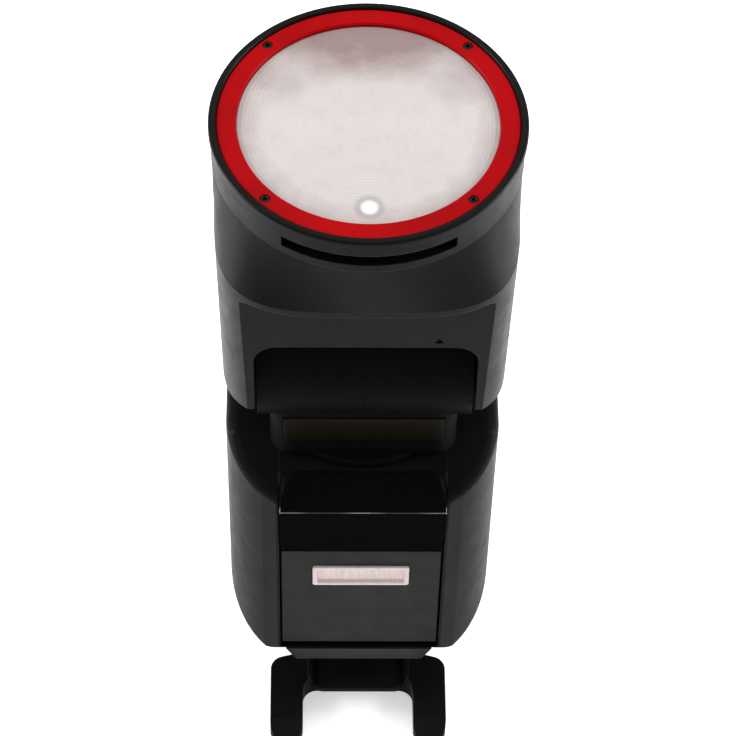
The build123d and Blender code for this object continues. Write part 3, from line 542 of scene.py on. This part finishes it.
def make_sub_flash_lens():
    """Small window with a thick clear lip and fine upright prisms inside it."""
    low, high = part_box("sub_flash_lens")
    middle_z = (low[2] + high[2]) / 2
    half_x, half_z = (high[0] - low[0]) / 2, (high[2] - low[2]) / 2
    front = low[1]
    lip = 1.3 * MM
    bm = bmesh.new()
    shapes = [(0.0, high[1]), (0.0, front + 0.35 * MM), (0.10 * MM, front + 0.10 * MM), (0.35 * MM, front),
              (lip - 0.3 * MM, front), (lip, front + 0.25 * MM), (lip + 0.25 * MM, front + 0.9 * MM)]
    rings = []
    for inset, y in shapes:
        outline = rounded_outline(half_x - inset, half_z - inset, max(0.3 * MM, 0.9 * MM - inset * 0.5))
        rings.append([bm.verts.new((x, y, middle_z + z)) for x, z in outline])
    count = len(rings[0])
    for lower, upper in zip(rings, rings[1:]):
        for step in range(count):
            after = (step + 1) % count
            bm.faces.new((lower[step], lower[after], upper[after], upper[step]))
    bm.faces.new(rings[-1])
    bm.faces.new(rings[0])
    prisms = 26
    reach_x = half_x - lip - 0.6 * MM
    reach_z = half_z - lip - 0.6 * MM
    pitch = 2 * reach_x / prisms
    foot_y, ridge_y = front + 1.0 * MM, front + 0.66 * MM
    for prism in range(prisms):
        left = -reach_x + pitch * prism
        corners = [(left, foot_y), (left + pitch / 2, ridge_y), (left + pitch, foot_y)]
        ends = [[bm.verts.new((x, y, middle_z + z)) for x, y in corners] for z in (-reach_z, reach_z)]
        bm.faces.new(ends[0])
        bm.faces.new(ends[1])
        for step in range(3):
            after = (step + 1) % 3
            bm.faces.new((ends[0][step], ends[0][after], ends[1][after], ends[1][step]))
    add_piece("sub_flash_window", to_mesh(bm, "sub_flash_window"), MODULE_LENS, "sub_flash",
              ("sub_flash_lens",), smooth=25)


def make_assist_lamp():
    """Focus-assist lamp behind the dark window: a small board with two domes."""
    low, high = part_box("assist_lamp")
    bm = bmesh.new()
    middle_z = (low[2] + high[2]) / 2
    slab(bm, (low[0], low[1] + 1.6 * MM, low[2]), high)
    for x in (-3.6 * MM, 3.6 * MM):
        matrix = Matrix.Translation((x, low[1] + 1.9 * MM, middle_z)) @ Matrix.Diagonal((1, 0.75, 1, 1))
        bmesh.ops.create_icosphere(bm, subdivisions=3, radius=2.3 * MM, matrix=matrix)
    add_piece("assist_lamp_domes", to_mesh(bm, "assist_lamp_domes"), ASSIST, "housing",
              ("assist_lamp",))


# Segments of a digit: across at the top, middle and bottom, and upright on each side
SEGMENTS = {"top": (0, 2, 1, 0), "middle": (0, 1, 1, 0), "bottom": (0, 0, 1, 0), "upper_left": (0, 1, 0, 1),
            "upper_right": (1, 1, 0, 1), "lower_left": (0, 0, 0, 1), "lower_right": (1, 0, 0, 1)}
DIGITS = {
    "1": ("upper_right", "lower_right"),
    "5": ("top", "upper_left", "middle", "lower_right", "bottom"),
    "8": tuple(SEGMENTS),
}


def draw_digit(bm, digit, left, low, tall, y, thick):
    """Seven-segment digit as thin raised bars that face the back."""
    half = tall / 2
    wide = tall * 0.5
    bar = tall * 0.11
    for name in DIGITS[digit]:
        x, z, across, upright = SEGMENTS[name]
        start = (left - wide * x - bar / 2, low + half * z - bar / 2)
        end = (start[0] + bar, start[1] + bar)
        if across:
            slab(bm, (start[0] - wide + bar * 1.2, y, start[1]), (end[0] - bar * 1.2, y + thick, end[1]))
        if upright:
            slab(bm, (start[0], y, start[1] + bar * 1.2), (end[0], y + thick, end[1] + half - bar * 1.2))


def make_screen():
    """Marks on the rear display's panel: a framed row of level bars and a power setting in digits."""
    low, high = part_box("screen_module")
    face = high[1]
    thick = 0.02 * MM
    bm = bmesh.new()
    tall = 8.0 * MM
    top = high[2] - 6.0 * MM
    for step, digit in enumerate("185"):
        draw_digit(bm, digit, 13.0 * MM - step * 6.6 * MM, top - tall, tall, face, thick)
    for step in range(12):
        left = -15.5 * MM + step * 2.6 * MM
        bar_top = low[2] + (3.2 + 0.18 * step) * MM
        slab(bm, (left, face, low[2] + 2.4 * MM), (left + 1.6 * MM, face + thick, bar_top))
    line = 0.25 * MM
    frame_low, frame_high = low[2] + 1.2 * MM, low[2] + 6.4 * MM
    for z in (frame_low, frame_high):
        slab(bm, (-18 * MM, face, z), (18 * MM, face + thick, z + line))
    for x in (-18 * MM, 18 * MM - line):
        slab(bm, (x, face, frame_low), (x + line, face + thick, frame_high))
    slab(bm, (-16.5 * MM, face, high[2] - 3.4 * MM), (-8.5 * MM, face + thick, high[2] - 1.4 * MM))
    slab(bm, (8.5 * MM, face, high[2] - 3.0 * MM), (16.5 * MM, face + thick, high[2] - 2.6 * MM))
    add_piece("screen_segments", to_mesh(bm, "screen_segments"), SEGMENT, "housing")


def make_key_marks():
    """Printed marks on the rear keys, each riding on its key."""
    thick = 0.03 * MM
    half_mark = 0.6 * MM
    half_bar = (1.3 * MM, 0.15 * MM)
    for number in range(1, 5):
        name = "function_key_" + str(number)
        low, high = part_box(name)
        middle_x, middle_z = (low[0] + high[0]) / 2, (low[2] + high[2]) / 2
        bm = bmesh.new()
        for step in range(number):
            left = middle_x + (step - number / 2) * 1.1 * MM + 0.25 * MM
            slab(bm, (left, high[1], middle_z - half_mark),
                 (left + half_mark, high[1] + thick, middle_z + half_mark))
        add_piece(name + "_mark", to_mesh(bm, name + "_mark"), PRINT, name)
    low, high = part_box("menu_button")
    middle_x, middle_z = (low[0] + high[0]) / 2, (low[2] + high[2]) / 2
    bm = bmesh.new()
    for step in (-1, 0, 1):
        z = middle_z + step * 0.9 * MM
        slab(bm, (middle_x - half_bar[0], high[1], z - half_bar[1]),
             (middle_x + half_bar[0], high[1] + thick, z + half_bar[1]))
    add_piece("menu_button_mark", to_mesh(bm, "menu_button_mark"), PRINT, "menu_button")


# ---------------------------------------------------------------- stage, light and camera

def make_stage():
    """Plain pale floor, lit a little from below like a light table."""
    finish = Finish("floor_paper")
    tone = finish.span(finish.noise(0.4, 2.0), 0.3, 0.7, 0.90, 0.94)
    mixed = finish.add("ShaderNodeCombineColor")
    for channel in ("Red", "Green", "Blue"):
        finish.link(tone, mixed.inputs[channel])
    finish.link(mixed.outputs["Color"], finish.shader.inputs["Base Color"])
    finish.set(Roughness=0.9, Specular_IOR_Level=0.1, Emission_Color=(1.0, 1.0, 1.0, 1.0))
    glow = finish.span(finish.axes()[1], -0.14, -0.06, 0.05, 0.45)
    finish.link(glow, finish.shader.inputs["Emission Strength"])
    bm = bmesh.new()
    bmesh.ops.create_grid(bm, x_segments=8, y_segments=8, size=4.0)
    mesh = to_mesh(bm, "floor")
    mesh.materials.append(finish.material)
    floor = bpy.data.objects.new("floor", mesh)
    bpy.context.scene.collection.objects.link(floor)


def add_softbox(name, place, target, size, power):
    """Rectangular area light that faces a point."""
    light = bpy.data.lights.new(name, "AREA")
    light.shape = "RECTANGLE"
    light.size, light.size_y = size
    light.energy = power
    lamp = bpy.data.objects.new(name, light)
    lamp.location = place
    lamp.rotation_euler = (Vector(target) - Vector(place)).to_track_quat("-Z", "Y").to_euler()
    bpy.context.scene.collection.objects.link(lamp)


def make_light():
    """White room, one large softbox overhead and a strip on each side."""
    world = bpy.data.worlds.new("white_room")
    world.use_nodes = True
    world.node_tree.nodes["Background"].inputs["Color"].default_value = (1.0, 1.0, 1.0, 1.0)
    world.node_tree.nodes["Background"].inputs["Strength"].default_value = 0.62
    bpy.context.scene.world = world
    middle = (0.0, 0.0, 0.12)
    add_softbox("softbox_top", (0.0, 0.45, 1.2), middle, (1.2, 1.0), 5.0)
    add_softbox("strip_left", (-0.75, 0.05, 0.30), middle, (0.25, 0.8), 9.0)
    add_softbox("strip_right", (0.75, 0.05, 0.30), middle, (0.25, 0.8), 9.0)
    view = bpy.context.scene.view_settings
    view.view_transform = "Standard"


def make_camera():
    """Camera above the front, looking down at the lens and the housing."""
    look_down = math.radians(53.2)
    from_left = math.radians(-1.5)
    roll = math.radians(1.38)
    aim_right = math.radians(-0.103)
    reach = Vector((0.0, -0.4658, 0.5245))
    camera = bpy.data.cameras.new("camera")
    camera.sensor_width = 36.0
    camera.lens = 144.9
    holder = bpy.data.objects.new("camera", camera)
    turn = Matrix.Rotation(from_left, 3, "Z")
    holder.location = Vector((0.0, HEAD_Y, TOP_Z)) + turn @ reach
    spin = turn @ Matrix.Rotation(math.pi / 2 - look_down, 3, "X") @ Matrix.Rotation(roll, 3, "Z")
    spin = spin @ Matrix.Rotation(aim_right, 3, "Y")
    holder.rotation_euler = spin.to_euler()
    bpy.context.scene.collection.objects.link(holder)
    bpy.context.scene.camera = holder


make_stage()
make_light()
make_camera()
make_lens()
make_reflector()
make_ring_screws()
make_sub_flash_lens()
make_assist_lamp()
make_screen()
make_key_marks()
